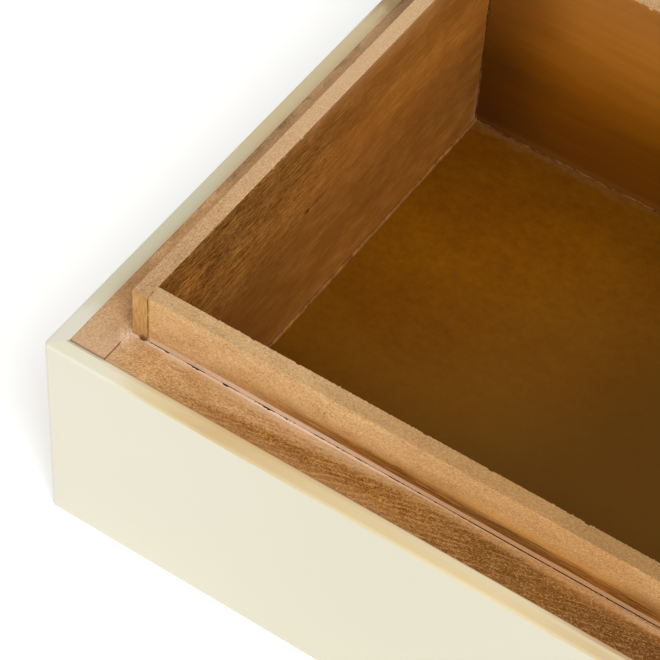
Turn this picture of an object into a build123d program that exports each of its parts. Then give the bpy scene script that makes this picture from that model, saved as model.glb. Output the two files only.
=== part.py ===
from build123d import *

import os

# A keepsake box with a lift-off lid, in millimetres.
# The origin is the middle of the underside of the box, +Z is up, and the front wall faces -Y.
# The walls are three layers deep: a cast ivory cladding outside, a raw fibreboard core,
# and a thin stained liner inside, which stands up past the rim as the lip that finds the lid.
# The lid lies on its back behind the box, as it is put down when the box is open.

# Box
LENGTH = 250.0
WIDTH = 171.0
RIM_HEIGHT = 58.0
LIP_HEIGHT = 14.0

# Sheet stock
CLADDING = 4.0
CORE = 9.0
LINER = 4.0
BASE_BOARD = 6.0
FLOOR_PANEL = 3.0
FELT = 0.5

# Fits between the layers
LINER_GAP = 0.6
BUTT_GAP = 0.15
END_GAP = 0.12
FLOOR_GAP = 0.3
FELT_INSET = 2.5

# Edges
ARRIS = 0.6
CORNER = 1.2
LIP_EASE = 0.6
INNER_EASE = 0.2

# Lid
LID_HEIGHT = 32.0
CEILING_PANEL = 2.0
CEILING_GAP = 0.3
LEAD_IN_DEPTH = 1.4
LEAD_IN_HEIGHT = 13.0
LID_SEAT = 0.3
LID_SPACING = 40.0

# Brads
BRAD_RADIUS = 0.6
CORNER_BRAD = 25.0
BOARD_BRAD = 20.0
BASE_BRAD_HEIGHTS = (15.0, 32.0, 49.0)
LID_BRAD_HEIGHTS = (17.0, 26.0)
BRAD_PITCH_X = 70.0
BRAD_PITCH_Y = 50.0

# Levels and offsets worked out from the driving dimensions
core_out_x = LENGTH / 2 - CLADDING
core_out_y = WIDTH / 2 - CLADDING
core_in_x = core_out_x - CORE
core_in_y = core_out_y - CORE
liner_out_x = core_in_x - LINER_GAP
liner_out_y = core_in_y - LINER_GAP
liner_in_x = liner_out_x - LINER
liner_in_y = liner_out_y - LINER
board_top = FELT + BASE_BOARD
lip_top = RIM_HEIGHT + LIP_HEIGHT
lid_y = WIDTH + LID_SPACING
lid_board_low = CLADDING
lid_board_high = CLADDING + BASE_BOARD
lid_cavity = LID_HEIGHT - lid_board_high - CEILING_PANEL
turn_y = WIDTH / 2 + LID_SPACING / 2
turn_z = (RIM_HEIGHT + LID_HEIGHT + LID_SEAT) / 2

os.makedirs("parts", exist_ok=True)


def finish(builder, name):
    """Label a finished piece and write it as one STEP file."""
    builder.part.label = name
    export_step(builder.part, f"parts/{name}.step")


def board(centre_x, centre_y, size_x, size_y, low, high):
    """A square-edged board between two levels."""
    with BuildPart() as made:
        with BuildSketch(Plane.XY.offset(low)):
            with Locations((centre_x, centre_y)):
                Rectangle(size_x, size_y)
        extrude(amount=high - low)
    return made


def cladding_ring(centre_y, low, high, rounded_level):
    """The closed band of cladding round four walls, before it is cut at the mitres."""
    with BuildPart() as ring:
        with BuildSketch(Plane.XY.offset(low)):
            with Locations((0, centre_y)):
                Rectangle(LENGTH, WIDTH)
                Rectangle(2 * core_out_x, 2 * core_out_y, mode=Mode.SUBTRACT)
        extrude(amount=high - low)
        outer_corners = ring.edges().filter_by(Axis.Z).sort_by(lambda e: abs(e.center().X))[-4:]
        fillet(outer_corners, CORNER)
        for level in rounded_level:
            rim = ring.faces().filter_by_position(Axis.Z, level, level)[0]
            fillet(rim.outer_wire().edges(), ARRIS)
    return ring


def mitred_panel(ring, centre_y, side_x, side_y, low, high):
    """One wall's cladding, cut from the band by the two mitres at its ends."""
    if side_y:
        corners = [
            (-LENGTH / 2, centre_y + side_y * WIDTH / 2),
            (LENGTH / 2, centre_y + side_y * WIDTH / 2),
            (core_out_x, centre_y + side_y * core_out_y),
            (-core_out_x, centre_y + side_y * core_out_y),
        ]
    else:
        corners = [
            (side_x * LENGTH / 2, centre_y - WIDTH / 2),
            (side_x * LENGTH / 2, centre_y + WIDTH / 2),
            (side_x * core_out_x, centre_y + core_out_y),
            (side_x * core_out_x, centre_y - core_out_y),
        ]
    with BuildPart() as panel:
        add(ring.part)
        with BuildSketch(Plane.XY.offset(low)):
            Polygon(*corners, align=None)
        extrude(amount=high - low, mode=Mode.INTERSECT)
    return panel


# Brads of the box: twelve pin the butt joints through the side boards,
# and ten pin the base board up into the four core boards.
with BuildPart() as base_corner_brads:
    for side in (-1, 1):
        with BuildSketch(Plane.YZ.offset(side * core_out_x)):
            for brad_z in BASE_BRAD_HEIGHTS:
                with Locations((core_in_y + CORE / 2, brad_z), (-core_in_y - CORE / 2, brad_z)):
                    Circle(BRAD_RADIUS)
        extrude(amount=-side * CORNER_BRAD)
finish(base_corner_brads, "base_corner_brads")

with BuildPart() as base_board_brads:
    with BuildSketch(Plane.XY.offset(FELT)):
        with GridLocations(BRAD_PITCH_X, 2 * core_in_y + CORE, 3, 2):
            Circle(BRAD_RADIUS)
        with GridLocations(2 * core_in_x + CORE, 2 * BRAD_PITCH_Y, 2, 2):
            Circle(BRAD_RADIUS)
    extrude(amount=BOARD_BRAD)
finish(base_board_brads, "base_board_brads")

# Core of the box: the side boards run through, and the front and back boards butt between them.
for name, side in (("left_core", -1), ("right_core", 1)):
    with BuildPart() as side_core:
        add(board(side * (core_in_x + CORE / 2), 0, CORE, 2 * (core_out_y - END_GAP), board_top, RIM_HEIGHT).part)
        add(base_corner_brads.part, mode=Mode.SUBTRACT)
        add(base_board_brads.part, mode=Mode.SUBTRACT)
    finish(side_core, name)

for name, side in (("front_core", -1), ("back_core", 1)):
    with BuildPart() as end_core:
        add(board(0, side * (core_in_y + CORE / 2), 2 * (core_in_x - BUTT_GAP), CORE, board_top, RIM_HEIGHT).part)
        add(base_corner_brads.part, mode=Mode.SUBTRACT)
        add(base_board_brads.part, mode=Mode.SUBTRACT)
    finish(end_core, name)

# Base board under the walls, the stained floor panel on it, and the felt that the box stands on.
with BuildPart() as base_board:
    add(board(0, 0, 2 * core_out_x, 2 * core_out_y, FELT, board_top).part)
    add(base_board_brads.part, mode=Mode.SUBTRACT)
finish(base_board, "base_board")

floor_panel = board(
    0, 0, 2 * (liner_in_x - FLOOR_GAP), 2 * (liner_in_y - FLOOR_GAP), board_top, board_top + FLOOR_PANEL
)
finish(floor_panel, "floor_panel")

underside_felt = board(0, 0, LENGTH - 2 * FELT_INSET, WIDTH - 2 * FELT_INSET, 0, FELT)
finish(underside_felt, "underside_felt")

# Cladding of the box: a rounded band, mitred at the corners into four panels.
base_band = cladding_ring(0, FELT, RIM_HEIGHT, (FELT, RIM_HEIGHT))
walls = (("front", 0, -1), ("back", 0, 1), ("left", -1, 0), ("right", 1, 0))
for name, side_x, side_y in walls:
    panel = mitred_panel(base_band, 0, side_x, side_y, FELT, RIM_HEIGHT)
    finish(panel, f"{name}_cladding")

# Liner: the side boards run through and show their ends, the front and back ones butt between them.
# The outer edge of the lip is eased, the inner edge is only just broken.
for name, side in (("left_liner", -1), ("right_liner", 1)):
    with BuildPart() as side_liner:
        add(board(side * (liner_in_x + LINER / 2), 0, LINER, 2 * liner_out_y, board_top, lip_top).part)
        top_edges = side_liner.edges().filter_by(Axis.Y).group_by(Axis.Z)[-1].sort_by(Axis.X)
        fillet(top_edges[0 if side < 0 else -1], LIP_EASE)
        top_edges = side_liner.edges().filter_by(Axis.Y).group_by(Axis.Z)[-1].sort_by(Axis.X)
        fillet(top_edges[-1 if side < 0 else 0], INNER_EASE)
    finish(side_liner, name)

for name, side in (("front_liner", -1), ("back_liner", 1)):
    with BuildPart() as end_liner:
        add(board(0, side * (liner_in_y + LINER / 2), 2 * (liner_in_x - BUTT_GAP), LINER, board_top, lip_top).part)
        top_edges = end_liner.edges().filter_by(Axis.X).group_by(Axis.Z)[-1].sort_by(Axis.Y)
        fillet(top_edges[0 if side < 0 else -1], LIP_EASE)
        top_edges = end_liner.edges().filter_by(Axis.X).group_by(Axis.Z)[-1].sort_by(Axis.Y)
        fillet(top_edges[-1 if side < 0 else 0], INNER_EASE)
    finish(end_liner, name)

# Brads of the lid: eight through the side boards, ten through the top board.
with BuildPart() as lid_corner_brads:
    for side in (-1, 1):
        with BuildSketch(Plane.YZ.offset(side * core_out_x)):
            for brad_z in LID_BRAD_HEIGHTS:
                with Locations((lid_y + core_in_y + CORE / 2, brad_z), (lid_y - core_in_y - CORE / 2, brad_z)):
                    Circle(BRAD_RADIUS)
        extrude(amount=-side * CORNER_BRAD)
finish(lid_corner_brads, "lid_corner_brads")

with BuildPart() as lid_board_brads:
    with BuildSketch(Plane.XY.offset(lid_board_low)):
        with Locations((0, lid_y)):
            with GridLocations(BRAD_PITCH_X, 2 * core_in_y + CORE, 3, 2):
                Circle(BRAD_RADIUS)
            with GridLocations(2 * core_in_x + CORE, 2 * BRAD_PITCH_Y, 2, 2):
                Circle(BRAD_RADIUS)
    extrude(amount=BOARD_BRAD)
finish(lid_board_brads, "lid_board_brads")

# Core of the lid, jointed as the box is. Once joined, its inner faces are planed back towards
# the rim, a lead-in that lets the lid tip over the lip.
with BuildPart() as lead_in:
    for level, reach in ((LID_HEIGHT - LEAD_IN_HEIGHT, 0), (LID_HEIGHT, LEAD_IN_DEPTH)):
        with BuildSketch(Plane.XY.offset(level)):
            with Locations((0, lid_y)):
                Rectangle(2 * (core_in_x + reach), 2 * (core_in_y + reach))
    loft()

for name, side in (("lid_left_core", -1), ("lid_right_core", 1)):
    with BuildPart() as lid_side_core:
        centre_x = side * (core_in_x + CORE / 2)
        add(board(centre_x, lid_y, CORE, 2 * (core_out_y - END_GAP), lid_board_high, LID_HEIGHT).part)
        add(lead_in.part, mode=Mode.SUBTRACT)
        add(lid_corner_brads.part, mode=Mode.SUBTRACT)
        add(lid_board_brads.part, mode=Mode.SUBTRACT)
    finish(lid_side_core, name)

for name, side in (("lid_front_core", -1), ("lid_back_core", 1)):
    with BuildPart() as lid_end_core:
        centre_y = lid_y - side * (core_in_y + CORE / 2)
        add(board(0, centre_y, 2 * (core_in_x - BUTT_GAP), CORE, lid_board_high, LID_HEIGHT).part)
        add(lead_in.part, mode=Mode.SUBTRACT)
        add(lid_corner_brads.part, mode=Mode.SUBTRACT)
        add(lid_board_brads.part, mode=Mode.SUBTRACT)
    finish(lid_end_core, name)

# Top of the lid: the cladding sheet that the lid now lies on, the board behind it,
# and the stained panel that is the lid's ceiling.
with BuildPart() as lid_top_cladding:
    with BuildSketch(Plane.XY):
        with Locations((0, lid_y)):
            Rectangle(LENGTH, WIDTH)
    extrude(amount=CLADDING)
    fillet(lid_top_cladding.edges().filter_by(Axis.Z), CORNER)
    fillet(lid_top_cladding.faces().sort_by(Axis.Z)[0].edges(), ARRIS)
finish(lid_top_cladding, "lid_top_cladding")

with BuildPart() as lid_top_board:
    add(board(0, lid_y, 2 * core_out_x, 2 * core_out_y, lid_board_low, lid_board_high).part)
    add(lid_board_brads.part, mode=Mode.SUBTRACT)
finish(lid_top_board, "lid_top_board")

lid_ceiling_panel = board(
    0,
    lid_y,
    2 * (core_in_x - CEILING_GAP),
    2 * (core_in_y - CEILING_GAP),
    lid_board_high,
    lid_board_high + CEILING_PANEL,
)
finish(lid_ceiling_panel, "lid_ceiling_panel")

# Cladding of the lid's four walls. The lid is turned over, so its front wall is the far one.
lid_band = cladding_ring(lid_y, CLADDING, LID_HEIGHT, (LID_HEIGHT,))
for name, side_x, side_y in walls:
    panel = mitred_panel(lid_band, lid_y, side_x, -side_y, CLADDING, LID_HEIGHT)
    finish(panel, f"lid_{name}_cladding")

print(f"inside of the box {2 * liner_in_x:.1f} x {2 * liner_in_y:.1f} mm, floor at {board_top + FLOOR_PANEL:.1f}")
print(f"lid turns about y {turn_y:.2f}, z {turn_z:.2f}, and its cavity is {lid_cavity:.1f} deep")
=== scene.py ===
# %% [markdown]
# # An ivory keepsake box, open, with its lid laid behind it
#
# The real box is a small piece of case work. Four fibreboard walls are butt jointed and pinned, cast ivory
# sheet is glued over them and polished, and a thin stained liner is dropped inside so that it stands up
# past the rim. The lid sits over that lip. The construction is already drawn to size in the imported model,
# so this lesson finishes it: it frays the sawn edges, runs the glue, and colours every surface.

# %% The frame
import math

import bmesh
import bpy
from mathutils import Matrix, Vector, noise


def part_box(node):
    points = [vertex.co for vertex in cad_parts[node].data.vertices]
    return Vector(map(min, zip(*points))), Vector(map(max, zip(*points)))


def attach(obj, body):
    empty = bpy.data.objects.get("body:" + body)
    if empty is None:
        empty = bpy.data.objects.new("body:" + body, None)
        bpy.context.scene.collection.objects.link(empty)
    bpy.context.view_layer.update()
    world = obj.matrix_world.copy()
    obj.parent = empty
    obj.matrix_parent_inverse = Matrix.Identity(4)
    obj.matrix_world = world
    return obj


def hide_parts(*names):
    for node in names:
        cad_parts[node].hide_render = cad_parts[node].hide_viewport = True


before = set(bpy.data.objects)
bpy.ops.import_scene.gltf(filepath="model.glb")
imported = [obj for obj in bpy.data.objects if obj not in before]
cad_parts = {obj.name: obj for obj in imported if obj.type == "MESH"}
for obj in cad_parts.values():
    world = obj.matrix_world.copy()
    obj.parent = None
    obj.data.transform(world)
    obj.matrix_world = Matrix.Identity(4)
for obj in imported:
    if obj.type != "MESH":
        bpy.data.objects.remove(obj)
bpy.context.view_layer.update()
print("the packed model has", len(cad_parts), "nodes")

# %% [markdown]
# ## Where each wall stands
#
# Every wall is a sandwich of cladding, core and, in the box, a liner. Stains and tears follow the wall, so
# the handiest way to place one is by two lengths: along the wall from its end, and in from its outer face.
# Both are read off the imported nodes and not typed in, so the finish still fits if the model is changed.

# %% A wall, and how to measure on it
MM = 0.001
LONG_SIDES = ("front", "back")
SHORT_SIDES = ("left", "right")
SIDES = LONG_SIDES + SHORT_SIDES


def extent(node):
    """The lowest and highest corner of a node, in millimetres."""
    low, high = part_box(node)
    return Vector(low) / MM, Vector(high) / MM


class Wall:
    """Where one wall of the box or the lid stands, in millimetres."""

    def __init__(self, body, side):
        low, high = extent(f"{body}{side}_cladding")
        core_low, core_high = extent(f"{body}{side}_core")
        self.long = side in LONG_SIDES
        self.runs = 0 if self.long else 1
        self.across = 1 - self.runs
        self.start = low[self.runs]
        self.length = high[self.runs] - low[self.runs]
        self.outward = 1 if (low + high)[self.across] > (core_low + core_high)[self.across] else -1
        self.face = high[self.across] if self.outward > 0 else low[self.across]
        self.rim = core_high.z
        # Each wall reads its noise from a place of its own, so that no two walls look alike.
        self.shift = (SIDES.index(side) * 17.3, len(body) * 5.1, 2.7)

    def at(self, depth):
        """The place across the wall that is this far in from its outer face."""
        return self.face - self.outward * depth

    def grain(self, along, across, height):
        """The size of a streak on this wall, as x, y and z."""
        return (along, across, height) if self.long else (across, along, height)

    def slant(self, degrees):
        """A turn in the plane of the rim and in the plane of the wall's face."""
        return (0, degrees, degrees) if self.long else (degrees, 0, degrees)


walls = {side: Wall("", side) for side in SIDES}
lid_walls = {side: Wall("lid_", side) for side in SIDES}
for side, wall in walls.items():
    print(side, "wall", round(wall.length, 2), "mm long, its face at", round(wall.face, 2))

# %% [markdown]
# ## The layers of a wall
#
# All four walls have the same layers, so they are measured once, on the front one. From the outer face in
# come the cladding, the core, a thin gap filled with glue, and the liner. The liner stands up past the rim
# of the other two, and its top is the lip that the lid sits over.

# %% Layers, measured in from the outer face
CORE_OUTER = extent("front_core")[0].y - walls["front"].face
CORE_INNER = extent("front_core")[1].y - walls["front"].face
LINER_OUTER = extent("front_liner")[0].y - walls["front"].face
LINER_INNER = extent("front_liner")[1].y - walls["front"].face
LIP = extent("front_liner")[1].z
FLOOR = extent("floor_panel")[1].z
RIM = walls["front"].rim
INSIDE_X = -walls["left"].at(LINER_INNER)
INSIDE_Y = -walls["front"].at(LINER_INNER)
print("rim", round(RIM, 2), "lip", round(LIP, 2), "floor", round(FLOOR, 2))
print("core from", round(CORE_OUTER, 2), "to", round(CORE_INNER, 2))
print("liner from", round(LINER_OUTER, 2), "to", round(LINER_INNER, 2))

# %% [markdown]
# ## The camera
#
# A photograph fixes its camera. Its straight edges were measured and solved for the place, the direction
# and the lens, so the numbers here are the answer to that sum. A long lens from above the right front looks
# down at the left front corner, and the frame is rolled a few degrees.

# %% Camera
CAMERA_PLACE = Vector((110.9, -364.8, 499.4)) * MM
CAMERA_AZIMUTH = math.radians(-30.67)
CAMERA_DIP = math.radians(50.04)
CAMERA_ROLL = math.radians(4.08)
LENS = 146.9
SENSOR = 36.0


def aim(azimuth, dip, roll):
    """A rotation that looks along an azimuth from +Y, down by a dip, and turned by a roll."""
    flat = math.cos(dip)
    ahead = Vector((math.sin(azimuth) * flat, math.cos(azimuth) * flat, -math.sin(dip)))
    level = Vector((math.cos(azimuth), -math.sin(azimuth), 0))
    above = level.cross(ahead)
    across = level * math.cos(roll) + above * math.sin(roll)
    upward = across.cross(ahead)
    return Matrix((across, upward, -ahead)).transposed()


camera = bpy.data.objects.new("camera", bpy.data.cameras.new("camera"))
bpy.context.collection.objects.link(camera)
camera.data.sensor_width = SENSOR
camera.data.lens = LENS
camera.data.clip_start = 0.01
camera.data.clip_end = 20
camera.location = CAMERA_PLACE
camera.rotation_mode = "QUATERNION"
camera.rotation_quaternion = aim(CAMERA_AZIMUTH, CAMERA_DIP, CAMERA_ROLL).to_quaternion()
bpy.context.scene.camera = camera
print("field of view", round(math.degrees(2 * math.atan(SENSOR / 2 / LENS)), 2), "degrees")

# %% [markdown]
# ## Shader arithmetic
#
# A finish is easier to read as a sum than as a web of nodes. This small class wraps a socket so that it
# adds and multiplies like a number. Most patterns then need only two words: rise, a soft step from 0 to 1,
# and band, which is 1 in a stretch and 0 outside it.


# %% A number that varies over a surface
class Value:
    """One shader socket, with arithmetic."""

    def __init__(self, finish, socket):
        self.finish = finish
        self.socket = socket

    def __add__(self, other):
        return self.finish.maths("ADD", self, other)

    def __sub__(self, other):
        return self.finish.maths("SUBTRACT", self, other)

    def __rsub__(self, other):
        return self.finish.maths("SUBTRACT", other, self)

    def __mul__(self, other):
        return self.finish.maths("MULTIPLY", self, other)

    def __abs__(self):
        return self.finish.maths("ABSOLUTE", self)

    __radd__ = __add__
    __rmul__ = __mul__

    def least(self, other):
        return self.finish.maths("MINIMUM", self, other)

    def rise(self, low, high):
        """0 below low, 1 above high, and a soft step between. With low above high it falls."""
        settings = {"interpolation_type": "SMOOTHSTEP"}
        sockets = {"Value": self, "From Min": low, "From Max": high}
        return Value(self.finish, self.finish.node("ShaderNodeMapRange", settings, sockets).outputs[0])

    def band(self, middle, half, soft):
        """1 within half of the middle, fading to 0 over soft."""
        return abs(self - middle).rise(half + soft, half)


# %% [markdown]
# ## Nodes by name
#
# Wood, glue and polished sheet differ in colour, gloss and fine relief, so every finish here is one
# Principled shader with those three linked. Its nodes could be placed by hand in the shader editor. Made by
# name in a script they can be read from top to bottom, and used again for the next wall.


# %% The nodes of one material
def give_stops(ramp, stops):
    """Give a colour ramp its stops, each a place from 0 to 1 and a colour."""
    ramp.elements.remove(ramp.elements[1])
    ramp.elements[0].position = stops[0][0]
    ramp.elements[0].color = stops[0][1]
    for at, colour in stops[1:]:
        ramp.elements.new(at).color = colour


class Nodes:
    """The nodes round one Principled shader."""

    def __init__(self, name, **constants):
        self.material = bpy.data.materials.new(name)
        self.material.use_nodes = True
        self.nodes = self.material.node_tree.nodes
        self.links = self.material.node_tree.links
        self.shader = self.nodes["Principled BSDF"]
        for socket, value in constants.items():
            self.shader.inputs[socket.replace("_", " ")].default_value = value

    def node(self, kind, settings=None, sockets=None):
        """Any node: its settings or stops first, then numbers, colours or links for its sockets."""
        made = self.nodes.new(kind)
        for name, value in (settings or {}).items():
            if name == "stops":
                give_stops(made.color_ramp, value)
            else:
                setattr(made, name, value)
        for key, value in (sockets or {}).items():
            if isinstance(value, Value):
                value = value.socket
            if isinstance(value, bpy.types.NodeSocket):
                self.links.new(value, made.inputs[key])
            else:
                made.inputs[key].default_value = value
        return made

    def maths(self, operation, *values):
        """One sum of numbers that vary over the surface."""
        sockets = dict(enumerate(values))
        return Value(self, self.node("ShaderNodeMath", {"operation": operation}, sockets).outputs[0])

    def apart(self, across, up):
        """How far a point is from the middle of a round spot, from its two distances."""
        return self.maths("SQRT", across * across + up * up)

    def blend(self, factor, first, second):
        """A mix of two colours."""
        settings = {"data_type": "RGBA", "clamp_factor": True}
        return self.node("ShaderNodeMix", settings, {0: factor, 6: first, 7: second}).outputs[2]

    def shade(self, colour, factor):
        """A colour made lighter or darker, or a place scaled."""
        sockets = {0: colour, "Scale": factor}
        return self.node("ShaderNodeVectorMath", {"operation": "SCALE"}, sockets).outputs[0]

    def ramp(self, value, *stops):
        """Colours that follow a value. Each stop is a value and its colour."""
        low, high = stops[0][0], stops[-1][0]
        placed = [((at - low) / (high - low), colour) for at, colour in stops]
        sockets = {0: (value - low) * (1 / (high - low))}
        return self.node("ShaderNodeValToRGB", {"stops": placed}, sockets).outputs[0]


# %% [markdown]
# ## Patterns in millimetres
#
# A stain on the real box has a size, so a pattern that is 3 mm wide should be written as 3. A finish takes
# the object's own coordinates, which stay with the piece when it moves, and turns them into millimetres. It
# also knows how far along a wall a point lies, and how deep.


# %% A finish
class Finish(Nodes):
    """A material whose patterns are measured in millimetres on the object."""

    def __init__(self, name, **constants):
        super().__init__(name, **constants)
        metres = self.node("ShaderNodeTexCoord").outputs["Object"]
        self.place = self.shade(metres, 1 / MM)
        split = self.node("ShaderNodeSeparateXYZ", {}, {0: self.place})
        self.x, self.y, self.z = (Value(self, out) for out in split.outputs)

    def mapped(self, size, shift, turn):
        """The place, turned by degrees round x, y and z, and then measured in lengths of size."""
        turned = self.place
        if turn:
            sockets = {"Vector": self.place, "Rotation": [math.radians(angle) for angle in turn]}
            turned = self.node("ShaderNodeMapping", {}, sockets).outputs[0]
        sockets = {"Vector": turned, "Location": shift, "Scale": [1 / length for length in size]}
        return self.node("ShaderNodeMapping", {}, sockets).outputs[0]

    def noise(self, size, detail=2.0, roughness=0.5, shift=(0, 0, 0), turn=None):
        """Cloudy noise about 0.5, whose clouds are size millimetres along x, y and z."""
        place = self.mapped(size, shift, turn)
        sockets = {"Vector": place, "Scale": 1, "Detail": detail, "Roughness": roughness}
        return Value(self, self.node("ShaderNodeTexNoise", {}, sockets).outputs[0])

    def specks(self, size, shift):
        """The distance from the middle of the nearest speck, in speck sizes."""
        sockets = {"Vector": self.mapped(size, shift, None), "Scale": 1}
        return Value(self, self.node("ShaderNodeTexVoronoi", {}, sockets).outputs[0])

    def on(self, wall):
        """Two lengths on a wall: along it from its left or front end, and in from its outer face."""
        x_or_y = (self.x, self.y)
        return x_or_y[wall.runs] - wall.start, (wall.face - x_or_y[wall.across]) * wall.outward

    def wear(self, colour, roughness, height=None):
        """Link the colour, the roughness, and a bump whose height is in millimetres."""
        self.links.new(colour, self.shader.inputs["Base Color"])
        if isinstance(roughness, Value):
            self.links.new(roughness.socket, self.shader.inputs["Roughness"])
        else:
            self.shader.inputs["Roughness"].default_value = roughness
        if height is not None:
            bump = self.node("ShaderNodeBump", {}, {"Height": height, "Strength": 1, "Distance": MM})
            self.links.new(bump.outputs[0], self.shader.inputs["Normal"])
        return self.material


# %% [markdown]
# ## Colours, and giving a piece its finish
#
# A colour picked on a screen is written 0 to 255 and bent by the screen's curve, while the shader counts
# light. So each colour is straightened first. A piece then takes one material all over, which replaces the
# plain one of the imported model.


# %% Colour and coat
def rgb(red, green, blue):
    """A colour given as it shows on a screen, 0 to 255, as the shader wants it."""

    def linear(c):
        c /= 255
        return c / 12.92 if c <= 0.04045 else ((c + 0.055) / 1.055) ** 2.4

    return (linear(red), linear(green), linear(blue), 1.0)


def coat(piece, material):
    """Give a piece one material all over."""
    piece.data.materials.clear()
    piece.data.materials.append(material)


print("ivory on a screen is", [round(c, 2) for c in rgb(233, 228, 208)[:3]], "to the shader")

# %% [markdown]
# ## The ivory cladding
#
# The cladding is cast sheet, sanded through the grits and waxed. Its face is almost plain, with faint
# clouds. The sawn edge that shows in the rim has drawn in glue and the dust of the core, so it goes from
# cream at the corner to a soft tan, and it is darkest where it meets the core, where shade is painted
# along the joint. Each stain is a colour blended in over a strip, and noise added to the strip's place
# makes its border ragged. A painted picture could do this too, but a pattern worked out from the place
# stays sharp however near the camera comes.


# %% Stains on the sawn edge of the sheet
def long_rim(finish, wall, along, inward, blotch):
    """The sawn edge of the front or back sheet, with the stains that lie along the core and painted shade
    along the joint.
    """
    cream, warm, tan = rgb(240, 235, 211), rgb(230, 214, 167), rgb(220, 191, 141)
    ragged = blotch - 0.5
    rim = finish.ramp(along + ragged * 14, (0, cream), (16, cream), (26, warm), (42, tan),
                      (70, rgb(228, 208, 160)), (112, rgb(234, 216, 170)), (135, rgb(222, 200, 154)),
                      (wall.length, cream))
    soaked_in = (inward + ragged * 0.8).rise(CORE_OUTER - 1.5, CORE_OUTER - 0.3) * along.rise(8, 24)
    rim = finish.blend(soaked_in * along.rise(112, 72) * 0.5, rim, rgb(210, 174, 134))
    lapped = (inward + ragged * 0.3).rise(3.2, 3.5) * along.rise(15, 11)
    rim = finish.blend(lapped * 0.6, rim, rgb(188, 152, 112))
    washed = (inward + ragged * 0.6).rise(1.9, 2.7) * along.rise(62, 105)
    rim = finish.blend(washed * 0.55, rim, rgb(230, 220, 188))
    dusty = (inward + ragged * 0.5).rise(2.9, 3.4) * along.rise(116, 138)
    rim = finish.blend(dusty * 0.8, rim, rgb(190, 152, 106))
    # Painted shade: a dark line along the joint where the sheet meets the core.
    glue_line = inward.rise(CORE_OUTER - 0.3, CORE_OUTER - 0.12)
    return finish.blend(glue_line * 0.5, rim, rgb(158, 120, 78))


def short_rim(finish, wall, along, inward, blotch):
    """The sawn edge of the left or right sheet, greyer, and brown at its far end."""
    cream, grey, tan = rgb(234, 230, 212), rgb(218, 213, 184), rgb(220, 204, 162)
    ragged = blotch - 0.5
    patch = along + ragged * 14
    rim = finish.ramp(patch, (0, cream), (10, cream), (18, grey), (55, grey), (75, tan), (150, tan),
                      (wall.length, grey))
    soaked_in = (inward + ragged * 0.8).rise(CORE_OUTER - 1.5, CORE_OUTER - 0.3) * along.rise(8, 24)
    rim = finish.blend(soaked_in * 0.3, rim, rgb(214, 180, 142))
    return finish.blend(patch.band(138, 7, 9) * 0.75, rim, rgb(158, 126, 74))


# %% [markdown]
# ## The whole sheet
#
# The face and the sawn edge are one sheet, so they share one material, and the height decides between them.
# Below a line just under the rim it is the plain face, and above it the stained edge. The line wanders, so
# the stain spills a little over the arris, as it does where glue was wiped off with a rag.


# %% The whole sheet
def ivory(name, wall):
    """Waxed cast sheet: a plain face and a stained rim, which spills a little over the arris."""
    finish = Finish(name, IOR=1.5, Specular_IOR_Level=0.35)
    along, inward = finish.on(wall)
    clouds = finish.noise((38, 38, 30), 3, 0.55, wall.shift)
    fine = finish.noise((1.6, 1.6, 1.6), 3, 0.6, wall.shift)
    blotch = finish.noise(wall.grain(9, 3, 3), 3, 0.6, wall.shift)
    face = finish.blend(clouds, rgb(233, 228, 208), rgb(229, 224, 203))
    face = finish.blend(along.rise(0, 95) * 0.9, face, rgb(222, 217, 194))
    rim = (long_rim if wall.long else short_rim)(finish, wall, along, inward, blotch)
    spill = finish.z - wall.rim + (blotch - 0.5) * 1.2
    colour = finish.blend(spill.rise(-0.9, -0.35), face, rim)
    return finish.wear(colour, 0.36 + clouds * 0.1, (fine + clouds * 4) * 0.006)


for body, level in (("", walls), ("lid_", lid_walls)):
    for side in SIDES:
        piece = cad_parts[f"{body}{side}_cladding"]
        coat(piece, ivory(f"{body}{side}_ivory", level[side]))
print("cladding coated on", 2 * len(SIDES), "walls")

# %% [markdown]
# ## Fibres on a sawn edge
#
# A sawn edge of fibreboard is a felt of short fibres. Plain noise looks like clouds and not like felt. Two
# layers of small stretched flecks, turned a few degrees apart, cross each other as fibres do, and longer
# loose hairs lie over them.


# %% Felt and hairs
def fibres(finish, wall, shift):
    """A felt of short fibres about 0.5, and a coarser one."""
    fine = finish.noise(wall.grain(1.1, 0.25, 0.25), 3, 0.72, shift, wall.slant(14))
    cross = finish.noise(wall.grain(0.9, 0.27, 0.27), 3, 0.72, shift, wall.slant(-26))
    coarse = finish.noise(wall.grain(7, 2.5, 2.5), 2, 0.5, shift)
    return fine * 0.55 + cross * 0.55 - 0.05, coarse


def hairs(finish, wall, shift):
    """Longer loose fibres that lie over the felt in two directions."""
    first = finish.noise(wall.grain(2.2, 0.28, 0.28), 2, 0.6, shift, wall.slant(20))
    second = finish.noise(wall.grain(1.9, 0.26, 0.26), 2, 0.6, shift, wall.slant(-38))
    return first.rise(0.56, 0.66) + second.rise(0.56, 0.66)


# %% [markdown]
# ## Saw marks and wiped glue
#
# The saw's teeth left slanting marks on the long rims. A sine across a turned and wandering length gives
# marks at an even pitch that aren't quite straight, and a second noise breaks them up. Glue was wiped over
# the inner side of the rim with a finger, so its border is soft, and it thins out along the wall.


# %% Saw marks and wiped glue
SAW_SLANT = 16
SAW_PITCH = 1.15


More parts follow.
